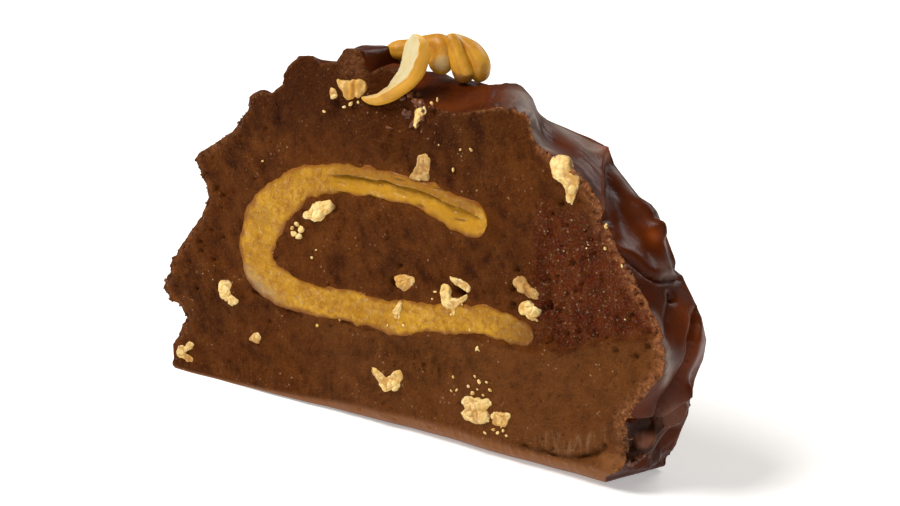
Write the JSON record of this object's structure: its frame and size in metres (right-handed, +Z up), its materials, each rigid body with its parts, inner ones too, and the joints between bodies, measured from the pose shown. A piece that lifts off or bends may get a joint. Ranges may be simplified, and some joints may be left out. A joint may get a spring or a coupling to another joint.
{
  "type": "fudge slice",
  "caption": "Upright slice of chocolate fudge with a swirl of salted caramel running through it, broken cashews in its cut faces and whole cashew pieces on top.",
  "frame": {"origin": "under the middle of the slice, on the plane it stands on", "axes": "+X along the slice's long side, to the picture's right; +Y through the slice, away from the shown cut face; +Z up"},
  "size_m": [0.1265, 0.0173, 0.0825],
  "materials": {
    "fudge": "matte crumbly cut faces and a smooth glossy outer skin",
    "caramel": "soft satin, slightly translucent",
    "nut": "broken nut flesh, matte",
    "cashew": "roasted, satin"
  },
  "bodies": {
    "root": {"fudge": "fudge", "caramel": "caramel", "cashew_half": "cashew", "cashew_rear": "cashew", "cashew_finger": "cashew", "cashew_back": "cashew", "nut_01": "nut", "nut_02": "nut", "nut_03": "nut", "nut_04": "nut", "nut_05": "nut", "nut_06": "nut", "nut_07": "nut", "nut_08": "nut", "nut_09": "nut", "nut_10": "nut", "nut_11": "nut", "nut_12": "nut", "nut_13": "nut", "nut_14": "nut", "nut_15": "nut", "nut_16": "nut", "nut_17": "nut", "nut_18": "nut", "nut_19": "nut", "nut_20": "nut", "nut_21": "nut", "nut_22": "nut", "nut_23": "nut", "nut_24": "nut"}
  },
  "joints": []
}
